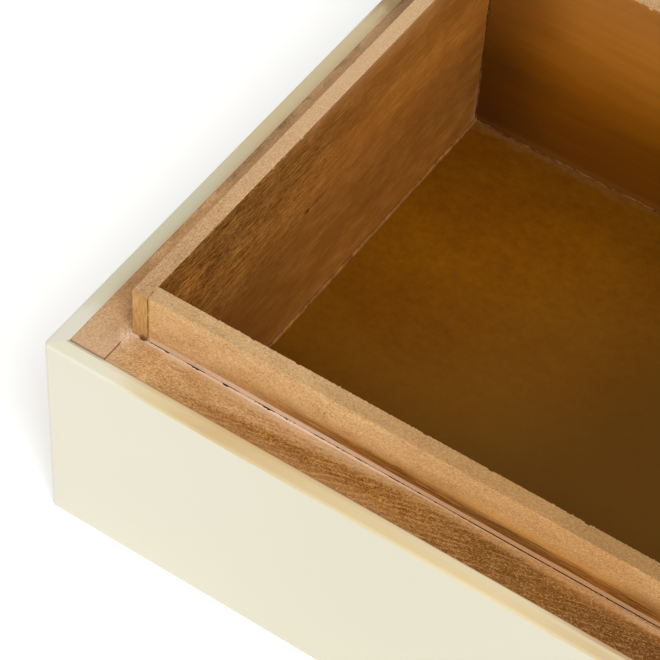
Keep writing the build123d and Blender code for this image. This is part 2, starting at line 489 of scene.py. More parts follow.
def sawed(finish, wall, along, colour):
    """Pale and dark marks that the saw's teeth left, at a slant across a long rim."""
    wander = finish.noise((12, 3, 1), 2, 0.6, wall.shift)
    broken = finish.noise((5, 0.8, 1), 2, 0.6, wall.shift, (0, 0, -SAW_SLANT))
    slant = math.radians(SAW_SLANT)
    across = finish.y * math.cos(slant) - finish.x * math.sin(slant) + wander * 2.6
    marks = finish.maths("SINE", across * (math.tau / SAW_PITCH))
    strength = along.rise(26, 44) * (1 - along.rise(90, 116) * 0.45)
    colour = finish.blend(marks.rise(-0.2, -0.9) * strength * 0.2, colour, rgb(108, 62, 16))
    light = marks.rise(0.4, 0.95) * broken.rise(0.42, 0.58) * strength
    return finish.blend(light * 0.5, colour, rgb(204, 154, 94))


def smeared(finish, wall, along, inward, colour):
    """Glue wiped over the inner side of the rim, and a spot of it at the end of the butt joint."""
    smear = finish.noise(wall.grain(14, 0.9, 0.9), 3, 0.6, wall.shift)
    lumps = finish.noise((0.7, 0.7, 0.7), 3, 0.7, wall.shift)
    wiped = (inward + (smear - 0.5) * 2.6).rise(CORE_INNER - 2.4, CORE_INNER - 0.5) * along.rise(10, 22)
    reach = along.rise(118, 30) + along.rise(125, 138) * 0.6
    wiped = wiped * reach * (0.55 + lumps.rise(0.35, 0.6) * 0.35)
    tinted = finish.blend(along.rise(55, 105), rgb(210, 168, 118), rgb(165, 118, 64))
    tinted = finish.blend(along.rise(124, 140), tinted, rgb(214, 172, 132))
    milky = along.band(25, 2, 3) * 0.8 + along.rise(30, 50) * along.rise(90, 66)
    colour = finish.blend(wiped, colour, finish.blend(milky, tinted, rgb(224, 190, 154)))
    joint_end = (CORE_INNER, CORE_INNER - 1.4) if wall.long else (CORE_INNER - 1.4, CORE_INNER)
    spot = finish.apart(along - joint_end[0], inward - joint_end[1]).rise(2.4, 0.5)
    return finish.blend(spot * lumps.rise(0.42, 0.56) * 0.75, colour, rgb(242, 214, 188))


print("saw marks", SAW_PITCH, "mm apart, at", SAW_SLANT, "degrees")

# %% [markdown]
# ## The raw edge of the cores
#
# The rim of the core is never planed after it is sawn. Along the front and the back the saw burnt the edge
# brown, in a wedge that widens away from the corner. The left and right edges stayed pale, with stains
# along the cladding. A hairline shows where the two boards butt together.


# %% Burnt and blotted rims
def burnt(finish, wall, along, inward, flecks, coarse, pale):
    """The rim of a long wall: pale at the corner, and a brown wedge that widens along it."""
    pale = finish.shade(pale, 1 + along.rise(30, 20) * 0.06)
    brown = finish.ramp(flecks, (0.36, rgb(104, 60, 16)), (0.46, rgb(141, 89, 31)),
                        (0.54, rgb(163, 110, 47)), (0.66, rgb(200, 152, 90)))
    thin = along.band(62, 16, 18) * inward.rise(7.5, 5)
    brown = finish.blend(thin * 0.35, brown, rgb(184, 138, 94))
    brown = finish.blend(along.rise(90, 140) * 0.5, brown, rgb(156, 94, 36))
    darker = along.rise(80, 110) * 0.32 + along.rise(116, 142) * 0.18
    lighter = along.rise(112, 124) * inward.rise(9.2, 10.4) * 0.3
    brown = finish.shade(brown, 1 - darker + lighter)
    wedge = (along - 15) * 0.108 + 4.6
    wedge = wedge.least(CORE_INNER - 1.3) + (coarse - 0.5) * 2.4
    mask = (wedge - inward).rise(-0.9, 0.9) * along.rise(19, 46)
    return sawed(finish, wall, along, finish.blend(mask, pale, brown))


def blotted(finish, wall, along, inward, felt, pale):
    """The rim of a short wall: pale, with brown blots along the cladding."""
    pale = finish.blend(0.3, pale, rgb(206, 164, 124))
    pale = finish.shade(pale, 1 + (felt - 0.5) * along.rise(18, 12) * 0.8)
    blots = finish.noise(wall.grain(4.5, 2, 2), 3, 0.65, wall.shift).rise(0.47, 0.6)
    blots = blots * inward.rise(CORE_OUTER + 2.4, CORE_OUTER + 0.2) * along.rise(20, 44)
    pale = finish.blend(blots * 0.55, pale, rgb(142, 104, 60))
    # Painted light: the outer side of the rim is lightened round 46 mm along.
    lighter = along.band(46, 8, 12) * inward.rise(8, 6) * 0.22
    darker = along.band(72, 10, 8) * inward.rise(5.8, 4.6) * 0.2 + along.band(138, 7, 9) * 0.35
    return finish.shade(pale, 1 + lighter - darker)


# %% [markdown]
# ## The rim of a core, put together
#
# The layers go on in the order in which they came on the real box: the bare felt, what the saw burnt or
# the glue stained, the loose hairs, the wiped glue, and last the dark lines of the joints. The side of the
# board is seen only through the crack in the glue, and it is painted dark all over as shade.


# %% Core finish
def hairline(wall, along, inward):
    """The joint between two cores, and the one between a core's end and the cladding."""
    if wall.long:
        return along.rise(CORE_INNER + 0.07, CORE_INNER + 0.03) * inward.rise(9.9, 9.4)
    butt = inward.rise(CORE_INNER - 0.05, CORE_INNER - 0.01) * along.rise(9.9, 9.4)
    return butt + along.rise(CORE_OUTER + 0.12, CORE_OUTER + 0.05) * 0.8


def sawn(name, wall):
    """Raw fibreboard with its saw marks, stains and glue."""
    finish = Finish(name, IOR=1.45, Specular_IOR_Level=0.15)
    along, inward = finish.on(wall)
    felt, coarse = fibres(finish, wall, wall.shift)
    flecks = felt + (coarse - 0.5) * 0.2
    pale = finish.ramp(flecks, (0.36, rgb(144, 96, 50)), (0.46, rgb(188, 142, 90)),
                       (0.54, rgb(208, 164, 112)), (0.66, rgb(236, 200, 150)))
    far_end = rgb(184, 134, 78) if wall.long else rgb(211, 177, 139)
    pale = finish.blend(along.rise(15, 120) * 0.5, pale, far_end)
    pale = finish.blend(along.rise(22, 4) * 0.5, pale, rgb(226, 197, 166))
    if wall.long:
        colour = burnt(finish, wall, along, inward, flecks, coarse, pale)
    else:
        colour = blotted(finish, wall, along, inward, felt, pale)
    colour = finish.blend(hairs(finish, wall, wall.shift) * 0.36, colour, rgb(222, 174, 112))
    colour = smeared(finish, wall, along, inward, colour)
    outer = rgb(120, 78, 40) if wall.long else rgb(168, 128, 86)
    colour = finish.blend(inward.rise(CORE_OUTER + 0.3, CORE_OUTER) * 0.5, colour, outer)
    colour = finish.blend(hairline(wall, along, inward) * 0.5, colour, rgb(104, 68, 40))
    # Painted shade: the core's side is darkened below the rim, inside the crack.
    painted_crack_shade = inward.rise(CORE_INNER - 0.3, CORE_INNER - 0.1) * finish.z.rise(RIM - 0.25, RIM - 0.5)
    colour = finish.blend(painted_crack_shade, colour, rgb(82, 46, 22))
    return finish.wear(colour, 0.9, felt * 0.16 + coarse * 0.1)


CORE_FINISHES = {side: sawn(f"{side}_fibreboard", wall) for side, wall in walls.items()}
print("core finishes:", ", ".join(finish.name for finish in CORE_FINISHES.values()))

# %% [markdown]
# ## Stain inside the short walls
#
# The liner was stained and sealed before it was cut. On the left and right boards the grain is open at the
# top of the near end, where the stain settled as short dark pores. It is smoother further back and down,
# and it has one small knot. The knot is a round spot with a long tail, both made from the distance to a
# point. Light and shade are painted on as lighter and darker bands, which are stretches along the wall and
# up it, and as a darker, redder patch low at the near end.


# %% Knot and bands
def knotted(finish, along, height, lines, stain):
    """A small dark knot with a long tail along the grain."""
    knot = finish.apart((along - 74.4) * 0.9, (height + 13.4) * 1.5)
    tail = finish.apart((along - 79) * 0.2, (height + 13.2 + (lines - 0.5) * 1.5) * 1.9)
    dark = knot.rise(1.3, 0.4) * 0.8 + tail.rise(1.2, 0.3) * 0.65
    return finish.blend(dark, stain, rgb(66, 32, 6))


def painted_shading(finish, along, height, stain):
    """Painted shade and light on the stain: darker and redder low at the near end, and lighter and darker
    in long bands.
    """
    # Painted shade: darker and redder low at the near end.
    deep = height.rise(-10, -24) * along.rise(90, 30)
    stain = finish.blend(deep * 0.5, stain, rgb(120, 60, 6))
    # Painted light and shade: lighter and darker in long bands along the wall and up it.
    light = along.rise(25, 80) * 0.14 + along.rise(60, 110) * (0.14 - height.rise(-12, -30) * 0.2)
    light = light + height.band(-6, 3, 6) * along.rise(24, 45) * 0.19
    light = light - height.band(4, 2, 4) * along.rise(30, 50) * 0.07
    light = light + height.band(4, 2, 4) * along.band(26, 5, 8) * 0.36
    light = light + height.rise(-33, -42) * along.rise(70, 100) * 0.13
    return finish.shade(stain, light + 0.87)


# %% [markdown]
# ## The brown stain, put together
#
# How open the grain is decides everything here: it sets how strongly the lines show and how dark the pores
# are. So it is worked out once, as a number from 0 to 1, and the other layers are multiplied by it. A pale
# film of lacquer runs along the foot, and dust has settled low in the corners.


# %% Brown stain
FILM_FADES = FLOOR - RIM + 2.9
FILM_FULL = FLOOR - RIM + 1.5


def soaked(finish, wall, along):
    """A brown stain full of pores at the top of the near end, and smoother further back and down."""
    height = finish.z - RIM
    lines = finish.noise(wall.grain(11, 1, 0.3), 4, 0.75, wall.shift)
    clouds = finish.noise(wall.grain(26, 3, 9), 3, 0.55, wall.shift)
    pores = finish.noise(wall.grain(1.8, 0.3, 0.27), 3, 0.75, wall.shift)
    blots = finish.noise(wall.grain(7, 3, 3.5), 3, 0.6, wall.shift)
    open_grain = (height + (clouds - 0.5) * 26).rise(-30, 4) * along.rise(112, 44)
    depth = (lines - 0.5) * (0.28 + open_grain * 0.9) + (clouds - 0.5) * 0.1 + (blots - 0.5) * 0.17 + 0.5
    stain = finish.ramp(depth, (0.34, rgb(118, 69, 16)), (0.5, rgb(165, 105, 38)),
                        (0.66, rgb(212, 150, 72)))
    stain = finish.blend(pores.rise(0.49, 0.39) * (open_grain * 0.72 + 0.1), stain, rgb(72, 36, 8))
    stain = finish.blend(pores.rise(0.54, 0.64) * (open_grain * 0.5 + 0.06), stain, rgb(214, 154, 88))
    # Painted highlight: a paler band along the top edge, further back along the wall.
    painted_edge_highlight = (height + (clouds - 0.5) * 8).rise(8, 14) * along.band(98, 22, 26)
    stain = finish.blend(painted_edge_highlight * 0.25, stain, rgb(230, 178, 120))
    stain = knotted(finish, along, height, lines, stain)
    stain = painted_shading(finish, along, height, stain)
    film = height.rise(FILM_FADES, FILM_FULL) * (along.band(66, 18, 14) + along.rise(142, 149))
    stain = finish.blend(film * 0.13, stain, rgb(196, 156, 100))
    corner = abs(finish.y).rise(INSIDE_Y - 2.2, INSIDE_Y - 0.4)
    corner = corner * (height + (clouds - 0.5) * 20).rise(-32, -44)
    return finish.blend(corner * 0.4, stain, rgb(190, 150, 116))


# %% [markdown]
# ## Stain inside the long walls
#
# The front and back boards were brushed from the top with amber stain. Shade is painted into it: it is pale
# along the top, darker towards the floor, and darkest in the corners. A ramp on the height gives that, with
# clouds added to the height so that no line is level, and stretched noise gives the streaks of the brush.


# %% Amber stain
def flooded(finish, wall):
    """An amber stain with painted shade: pale along the top, darker towards the floor, darkest in the
    corners.
    """
    clouds = finish.noise(wall.grain(30, 9, 12), 3, 0.5, wall.shift)
    height = finish.z - RIM
    # Painted shade: the ramp darkens the stain towards the floor.
    stain = finish.ramp(height + (clouds - 0.5) * 8, (-46, rgb(124, 71, 2)), (-30, rgb(133, 77, 2)),
                        (-20, rgb(162, 98, 10)), (-10, rgb(190, 120, 32)), (0, rgb(203, 131, 44)),
                        (12, rgb(204, 134, 58)))
    drawn = finish.noise(wall.grain(38, 3, 2.4), 4, 0.65, wall.shift)
    stain = finish.shade(stain, 0.72 + drawn * 0.38 + clouds * 0.18)
    # Painted shade: the stain is darkened towards the corners.
    from_corner = INSIDE_X - abs(finish.x) + (clouds - 0.5) * 10
    painted_corner_shade = finish.blend(0.6, stain, rgb(44, 16, 0))
    stain = finish.blend(from_corner.rise(28, 1), stain, painted_corner_shade)
    return finish.blend(height.rise(FILM_FADES, FILM_FULL) * 0.06, stain, rgb(196, 150, 90))


# %% [markdown]
# ## The raw faces of the liner
#
# The cut edge on top and the back of the liner, which shows above the rim, were never stained. Both are a
# felt of fibres like the core's, only paler. The back has a few dark pits as well, and they come from the
# distance to the nearest of many scattered points, which gives round spots with nothing between them.


# %% Sawn top and raw back
def cut_top(finish, wall, along, felt, coarse):
    """The sawn top of the liner, lighter or darker along its length."""
    top = finish.ramp(felt + (coarse - 0.5) * 0.2, (0.37, rgb(156, 115, 68)), (0.47, rgb(197, 157, 107)),
                      (0.54, rgb(209, 169, 119)), (0.64, rgb(231, 197, 151)))
    if wall.long:
        top = finish.blend(0.3, top, rgb(203, 163, 116))
        top = finish.blend(along.rise(42, 105) * 0.72, top, rgb(177, 128, 70))
        top = finish.shade(top, 1 + along.band(42, 8, 18) * 0.09 - along.rise(110, 124) * 0.16)
        return finish.shade(top, 1 + (felt - 0.5) * along.rise(60, 105) * 1.1)
    top = finish.blend(0.4, top, rgb(213, 166, 124))
    top = finish.blend(along.rise(25, 100) * 0.7, top, rgb(223, 185, 142))
    return finish.shade(top, 0.91 + along.rise(26, 44) * 0.09 + (felt - 0.5) * 0.7)


def raw_back(finish, wall, felt, coarse):
    """The unstained back of the liner: a felt with loose hairs and a few dark pits."""
    back = finish.ramp(felt * 0.8 + coarse * 0.2, (0.38, rgb(168, 110, 50)), (0.46, rgb(213, 161, 101)),
                       (0.54, rgb(228, 179, 119)), (0.62, rgb(248, 211, 158)))
    back = finish.blend(hairs(finish, wall, (6.1, 2.2, wall.shift[0])) * 0.4, back, rgb(252, 222, 180))
    pits = finish.specks(wall.grain(2.1, 1.3, 1.3), wall.shift).rise(0.16, 0.08)
    return finish.blend(pits * 0.4, back, rgb(138, 88, 42))


# %% [markdown]
# ## Stain and glue at the foot of the back
#
# On the long walls a brown streak of stain runs along the foot of the liner's back, with a smear of pale
# glue under it, and the whole face browns towards its far end. Each is a strip in height, whose border is
# moved by streaks stretched along the grain, because stain runs along the fibres before it crosses them.


# %% Streak, glue and tone
def toned(finish, along, felt, back):
    """The back of a long liner, browner towards its far end and its foot."""
    back = finish.blend(along.rise(70, 40) * 0.22, back, rgb(212, 163, 111))
    lighter = (felt - 0.5) * along.rise(80, 120) * 0.5 + along.rise(95, 115) * 0.05
    back = finish.shade(back, 1 + lighter)
    low_down = (finish.z - RIM).rise(9, 4)
    back = finish.blend(along.rise(45, 115) * (0.5 + low_down * 0.3), back, rgb(180, 122, 60))
    back = finish.blend(low_down * along.rise(30, 60) * 0.42, back, rgb(189, 129, 42))
    lighter = along.band(114, 12, 10) * 0.3 - along.rise(128, 140) * 0.25
    return finish.shade(back, 1 + lighter * low_down)


def streaked(finish, wall, along, back):
    """A brown streak along the foot of a long liner, pale glue under it, and painted shade on the face
    below the rim, in the gap.
    """
    wave = finish.noise(wall.grain(34, 2, 8), 2, 0.5, wall.shift)
    streaks = finish.noise(wall.grain(9, 0.5, 0.3), 4, 0.75, wall.shift)
    height = finish.z - RIM + (wave - 0.5) * 1.4
    under = (height + (streaks - 0.5) * 3.4).rise(5.7, 3.5)
    foot = (height + (streaks - 0.5) * 0.7 + along.rise(55, 85) * 0.12).rise(1.75, 1.3)
    thread = finish.noise(wall.grain(7, 0.4, 0.2), 3, 0.7, wall.shift)
    brown = finish.ramp(thread, (0.38, rgb(84, 42, 4)), (0.5, rgb(138, 80, 16)), (0.62, rgb(194, 130, 54)))
    brown = finish.shade(brown, 1.08 - along.rise(75, 105) * 0.34 + along.rise(113, 124) * 0.26)
    back = finish.blend(under * (1 - foot) * along.rise(22, 74) * 0.92, back, brown)
    glued = finish.blend(along.rise(45, 115), rgb(248, 222, 196), rgb(224, 180, 134))
    back = finish.blend(foot * (0.48 + along.rise(24, 40) * 0.26), back, glued)
    # Painted shade: the liner's back is darkened below the rim, inside the gap.
    return finish.blend((finish.z - RIM).rise(0.08, -0.02), back, rgb(58, 30, 10))


# %% [markdown]
# ## The liner, put together
#
# Where the left and right boards run through, their cut ends show beside the front one. The other faces are
# told apart by where they are: the top by its height, and the stained inside by its depth in the wall. So
# one material serves the whole board, and no face has to be picked by hand.


# %% Liner finish
def cut_ends(finish, wall, inward, low, high, back):
    """The cut ends of a board, with painted shade at the foot of a short one's end."""
    half_length = (high - low)[wall.runs] / 2
    from_middle = abs((finish.x, finish.y)[wall.runs] - (low + high)[wall.runs] / 2)
    ends = from_middle.rise(half_length - 0.3, half_length - 0.15)
    plies = finish.noise((0.5, 0.5, 3), 3, 0.65, wall.shift)
    wood = finish.ramp(plies, (0.32, rgb(192, 140, 78)), (0.5, rgb(207, 157, 94)),
                       (0.68, rgb(222, 176, 114)))
    back = finish.blend(ends, back, wood)
    if wall.long:
        return back
    # Painted shade: the foot of a short board's end, on its inner half, is darkened where it meets the rim.
    painted_foot_shade = (finish.z - RIM + (plies - 0.5) * 1.5).rise(1.5, 0.3)
    painted_foot_shade = painted_foot_shade * inward.rise(LINER_INNER - 2.6, LINER_INNER - 1.6)
    return finish.blend(ends * painted_foot_shade * 0.75, back, rgb(124, 80, 42))


def lined(name, wall, node):
    """The liner: stained inside, raw on its top, its back and its ends."""
    finish = Finish(name, IOR=1.45, Specular_IOR_Level=0.25)
    along, inward = finish.on(wall)
    felt, coarse = fibres(finish, wall, (3.3, 8.1, wall.shift[0]))
    top = cut_top(finish, wall, along, felt, coarse)
    back = raw_back(finish, wall, felt, coarse)
    if wall.long:
        back = streaked(finish, wall, along, toned(finish, along, felt, back))
    back = cut_ends(finish, wall, inward, *extent(node), back)
    stain = flooded(finish, wall) if wall.long else soaked(finish, wall, along)
    on_top = finish.z.rise(LIP - 0.25, LIP - 0.12)
    inside = inward.rise(LINER_INNER - 0.2, LINER_INNER - 0.1) * (1 - on_top)
    colour = finish.blend(inside, finish.blend(on_top, back, top), stain)
    lines = finish.noise(wall.grain(8, 0.5, 0.3), 3, 0.6, wall.shift)
    height = felt * 0.14 * (1 - inside) + lines * 0.03 * inside
    return finish.wear(colour, 0.88 - inside * 0.3, height)


LINER_FINISHES = {side: lined(f"{side}_veneer", wall, f"{side}_liner") for side, wall in walls.items()}
print("liner finishes:", ", ".join(finish.name for finish in LINER_FINISHES.values()))

# %% [markdown]
# ## Boards cut into steps
#
# A board starts as a cube stretched to its size. Its top edges are bevelled, because no sawn edge is
# perfectly sharp, and its long edges are cut into half-millimetre steps. Those steps give points that can
# be moved later, so that a torn edge is real geometry and catches the light as a bump map wouldn't.

# %% A board
STEP = 0.5


def plank(low, high, runs, ease=0.0, shoulder=0.0, step=STEP):
    """A board in metres, with its top edges eased and a loop of points at each step along it.

    A shoulder is a cut that far below the top, so that what happens to the edge doesn't reach further down.
    """
    board = bmesh.new()
    middle = (low + high) / 2 * MM
    size = (high - low) * MM
    bmesh.ops.create_cube(board, size=1, matrix=Matrix.Translation(middle) @ Matrix.Diagonal((*size, 1)))

    def is_long(edge):
        a, b = (v.co for v in edge.verts)
        return abs(a[runs] - b[runs]) > size[runs] / 2

    if ease:
        top = [e for e in board.edges if is_long(e) and all(v.co.z > middle.z for v in e.verts)]
        bmesh.ops.bevel(
            board, geom=top, offset=ease * MM, affect="EDGES", segments=2, profile=0.5, material=-1
        )
    if shoulder:
        whole = board.verts[:] + board.edges[:] + board.faces[:]
        cut = Vector((0, 0, high.z - shoulder)) * MM
        bmesh.ops.bisect_plane(board, geom=whole, plane_co=cut, plane_no=(0, 0, 1))
    cuts = int((high - low)[runs] / step)
    long_edges = [e for e in board.edges if is_long(e)]
    bmesh.ops.subdivide_edges(board, edges=long_edges, cuts=cuts, use_grid_fill=True)
    return board


def put(board, name):
    """Make the object of a finished bmesh. It rides on the box."""
    bmesh.ops.recalc_face_normals(board, faces=board.faces[:])
    mesh = bpy.data.meshes.new(name)
    board.to_mesh(mesh)
    board.free()
    piece = bpy.data.objects.new(name, mesh)
    bpy.context.collection.objects.link(piece)
    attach(piece, "box")
    return piece


print("boards are cut every", STEP, "mm")

# %% [markdown]
# ## Torn edges
#
# A saw pulls fibres out of the edge of a board. The points near one top edge are drawn back into the board
# by a smooth noise: most of them a little, a few of them far where a chip has gone, and here and there a
# fibre stays and stands out. The noise has a fixed seed for each board, so the edge is the same every time.


# %% A torn edge
def drift(place, pace, seed, lane):
    """Smooth noise, mostly between -0.7 and 0.7, that changes along a length."""
    return noise.noise(Vector((place * pace, seed, lane)))


def fray(board, wall, level, inner, depth, seed, whisker=0.0):
    """Tear one top edge: its points draw back by up to depth, and here and there a fibre stays."""
    middle = sum((v.co for v in board.verts), Vector()) / len(board.verts)
    for v in board.verts:
        near_top = v.co.z > (level - 0.5) * MM
        is_inner = (v.co[wall.across] - middle[wall.across]) * wall.outward < 0
        if not near_top or is_inner != inner:
            continue
        along = v.co[wall.runs] / MM
        ragged = drift(along, 1.9, seed, 0) * 0.7 + 0.5
        chip = max(0, drift(along, 0.45, seed, 9) - 0.25) * 2.5
        fibre = max(0, drift(along, 1.4, seed, 5) - 0.32) * whisker
        torn = depth * (ragged * 0.6 + chip) - fibre
        v.co.z -= max(0, torn) * 0.5 * MM
        v.co[wall.across] += torn * MM * (wall.outward if inner else -wall.outward)


# %% [markdown]
# ## Cores and liners
#
# The eight sawn boards are the ones whose edges show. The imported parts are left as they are, so each of
# these gets a torn double that stands for it. The core is fibreboard and tears very little. The liner's
# inner edge is the worst: the stained skin chips off, and single fibres stand out over the edge.

# %% Cores and liners
CORE_EASE = 0.04
CORE_TORN = 0.04
LINER_EASE = 0.22
LINER_TORN = 0.26
for seed, side in enumerate(SIDES):
    wall = walls[side]
    board = plank(*extent(f"{side}_core"), wall.runs, CORE_EASE, 0.6)
    fray(board, wall, RIM, True, CORE_TORN, seed)
    fray(board, wall, RIM, False, CORE_TORN * (0.7 if wall.long else 0.15), seed + 40)
    piece = put(board, f"{side}_core_board")
    coat(piece, CORE_FINISHES[side])
    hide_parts(f"{side}_core")
    board = plank(*extent(f"{side}_liner"), wall.runs, LINER_EASE, 0.8, STEP / 2)
    fray(board, wall, LIP, True, LINER_TORN, seed + 10, 0.7)
    fray(board, wall, LIP, False, LINER_TORN * 0.4, seed + 20)
    piece = put(board, f"{side}_liner_board")
    coat(piece, LINER_FINISHES[side])
    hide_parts(f"{side}_liner")
    print(side, "core and liner,", len(piece.data.vertices), "points in the liner")

# %% [markdown]
# ## Floor, ceiling and the hidden boards
#
# The floor panel is flooded with amber stain under a satin lacquer, so it is smooth and deep, with only
# faint clouds. Light and shade are painted on it: it is lightest round one point and darker away from it,
# so its shade follows the distance to that point. The boards that the cladding hides keep the look of
# plain fibreboard.

# %% Panels and plain boards
PAINTED_LIGHT_MIDDLE = (-66, 18)


def amber(name, shift, middle, fringe=0.0):
    """Amber stain with painted light: lightest round one point and painted darker away from it. A fringe is
    how far out the walls' film lies.
    """
    finish = Finish(name, IOR=1.48, Specular_IOR_Level=0.07)
    clouds = finish.noise((34, 26, 20), 4, 0.55, shift)
    mottle = finish.noise((2.6, 2.2, 2.6), 4, 0.65, shift)
    pores = finish.noise((0.6, 1.5, 0.6), 3, 0.7, shift)
    colour = finish.ramp(clouds * 0.7 + mottle * 0.3, (0.3, rgb(113, 63, 0)), (0.68, rgb(132, 81, 3)))
    colour = finish.shade(colour, 0.645 + pores * 0.36 + mottle * 0.35)
    brown = (finish.x - finish.y + (clouds - 0.5) * 40).rise(-130, -15)
    colour = finish.blend(brown * 0.8, colour, rgb(104, 69, 19))
    across = finish.x - middle[0]
    # The painted pool of light reaches further to its left than to its right.
    painted_light_falloff = finish.apart(abs(across) * 1.02 + across * 0.22, (finish.y - middle[1]) * 0.8).rise(10, 58)
    far_end = finish.y.rise(45, 58) * finish.x.rise(-92, -72)
    colour = finish.shade(colour, 1.1 - painted_light_falloff * 0.3 - far_end * 0.13)
    if fringe:
        film = (abs(finish.y) + (mottle - 0.5) * 7).rise(fringe - 4, fringe - 0.5)
        colour = finish.blend(film * finish.x.rise(-40, -85) * 0.42, colour, rgb(128, 88, 50))
    return finish.wear(colour, 0.5 + mottle * 0.1, clouds * 0.05)


def plain_board(name, shift):
    """Fibreboard that nobody sees."""
    finish = Finish(name, IOR=1.45, Specular_IOR_Level=0.15)
    felt = finish.noise((1.2, 1.2, 0.5), 3, 0.65, shift)
    clouds = finish.noise((20, 20, 8), 2, 0.5, shift)
    colour = finish.ramp(felt * 0.6 + clouds * 0.4, (0.34, rgb(150, 106, 64)), (0.62, rgb(206, 166, 122)))
    return finish.wear(colour, 0.9, felt * 0.12)


lid_middle = sum(extent("lid_ceiling_panel"), Vector()) / 2
coat(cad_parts["floor_panel"], amber("floor_amber", (1, 2, 3), PAINTED_LIGHT_MIDDLE, INSIDE_Y))
coat(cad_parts["lid_ceiling_panel"], amber("ceiling_amber", (11, 4, 9), lid_middle))
coat(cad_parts["base_board"], plain_board("base_fibreboard", (2, 7, 1)))
coat(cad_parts["lid_top_board"], plain_board("lid_top_fibreboard", (8, 1, 5)))
print("two panels stained, two boards left plain")

# %% [markdown]
# ## The lid's walls and top
#
# The lid was made with the box, so it has the same finishes. It has no liner: its core shows a raw edge on
# the rim and a stained face inside, and the height tells one from the other. Its top sheet is waxed like
# the walls.


# %% Lid finishes
def lid_core(name, wall):
    """The lid's core: a raw rim and a stained face."""
    finish = Finish(name, IOR=1.45, Specular_IOR_Level=0.2)
    felt, coarse = fibres(finish, wall, wall.shift)
    raw = finish.ramp(felt + (coarse - 0.5) * 0.25, (0.3, rgb(150, 104, 62)), (0.46, rgb(186, 142, 97)),
                      (0.56, rgb(204, 162, 119)), (0.72, rgb(226, 190, 150)))
    grain = finish.noise(wall.grain(26, 1, 0.4), 4, 0.7, wall.shift)
    stain = finish.ramp(grain, (0.34, rgb(92, 52, 16)), (0.62, rgb(150, 98, 44)))
    raw_edge = finish.z.rise(wall.rim - 0.3, wall.rim - 0.1)
    colour = finish.blend(raw_edge, stain, raw)
    return finish.wear(colour, 0.5 + raw_edge * 0.4, felt * 0.14 * raw_edge + grain * 0.02)


def ivory_top():
    """The lid's top sheet, the same as the walls but with no rim of its own."""
    finish = Finish("lid_top_ivory", IOR=1.5, Specular_IOR_Level=0.35)
    clouds = finish.noise((38, 38, 30), 3, 0.55, (4, 4, 4))
    fine = finish.noise((1.6, 1.6, 1.6), 3, 0.6, (4, 4, 4))
    colour = finish.blend(clouds, rgb(233, 228, 208), rgb(229, 224, 203))
    seam = extent("lid_top_cladding")[1].z
    colour = finish.blend(finish.z.rise(seam - 0.3, seam - 0.1) * 0.6, colour, rgb(206, 176, 128))
    return finish.wear(colour, 0.36 + clouds * 0.1, (fine + clouds * 4) * 0.006)


for side in SIDES:
    coat(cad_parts[f"lid_{side}_core"], lid_core(f"lid_{side}_fibreboard", lid_walls[side]))
coat(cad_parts["lid_top_cladding"], ivory_top())
print("lid coated on", len(SIDES), "cores and its top")

# %% [markdown]
# ## Felt and brads
#
# The box stands on a sheet of short dark felt, and plain steel wire brads hold the boards. Neither shows
# in the photograph, but the model can be taken apart, so each has a finish of its own. Fine noise in the
# colour and in the bump is enough for felt, and a metallic shader with faint drawn lines for wire.


# %% Felt and brads
def pile():
    """Dark brown felt."""
    finish = Finish("dark_felt", IOR=1.4, Specular_IOR_Level=0.05)
    fuzz = finish.noise((0.5, 0.5, 0.5), 4, 0.7)
    lay = finish.noise((14, 14, 4), 2, 0.5)
    colour = finish.ramp(fuzz * 0.7 + lay * 0.3, (0.34, rgb(52, 34, 24)), (0.64, rgb(98, 70, 52)))
    return finish.wear(colour, 1.0, fuzz * 0.4)


def wire():
    """Drawn steel."""
    finish = Finish("brad_steel", Metallic=1.0)
    drawn = finish.noise((0.4, 0.4, 3), 3, 0.6)
    colour = finish.ramp(drawn, (0.35, rgb(150, 150, 150)), (0.65, rgb(196, 196, 194)))
    return finish.wear(colour, 0.3 + drawn * 0.2)


coat(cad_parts["underside_felt"], pile())
steel = wire()
brads = [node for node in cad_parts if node.endswith("brads")]
for node in brads:
    coat(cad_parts[node], steel)
print("felt coated, and", len(brads), "sets of brads")

# %% [markdown]
# ## Glue and lacquer
#
# Nothing glued by hand is clean, and these lines are what make the box look made. White glue dries milky
# and yellows where the stain has touched it, and lacquer dries as a brown film. The five finishes below are
# shared by all the lines that follow.


# %% Glue and lacquer finishes
def glue_finish():
    """The glue in the gap behind the liner: milky near the corner, browner away from it, and painted dark
    below its top as shade in the crack.
    """
    finish = Finish("dried_glue", IOR=1.5, Specular_IOR_Level=0.3)
    mottle = finish.noise((3, 3, 3), 3, 0.6)
    lumps = finish.noise((0.6, 0.6, 0.6), 3, 0.7)
    along = finish.x - walls["front"].start
    colour = finish.ramp(along, (0, rgb(220, 188, 156)), (38, rgb(224, 192, 160)), (52, rgb(240, 211, 182)),
                         (76, rgb(224, 190, 158)), (96, rgb(200, 156, 110)), (140, rgb(164, 118, 72)))
    colour = finish.blend(mottle.rise(0.4, 0.7) * along.rise(20, 80) * 0.4, colour, rgb(206, 160, 112))
    colour = finish.blend(lumps.rise(0.5, 0.62) * 0.25, colour, rgb(238, 208, 180))
    # Painted shade: the glue is darkened below its top, inside the crack.
    colour = finish.blend(finish.z.rise(RIM - 0.05, RIM - 0.16) * 0.9, colour, rgb(104, 64, 30))
    return finish.wear(colour, 0.7, lumps * 0.25)


def bead_finish(name, dark, light):
    """Dried lacquer or glue, mottled between two colours."""
    finish = Finish(name, IOR=1.5, Specular_IOR_Level=0.15)
    mottle = finish.noise((3, 3, 3), 3, 0.65)
    return finish.wear(finish.ramp(mottle, (0.36, dark), (0.64, light)), 0.6, mottle * 0.05)


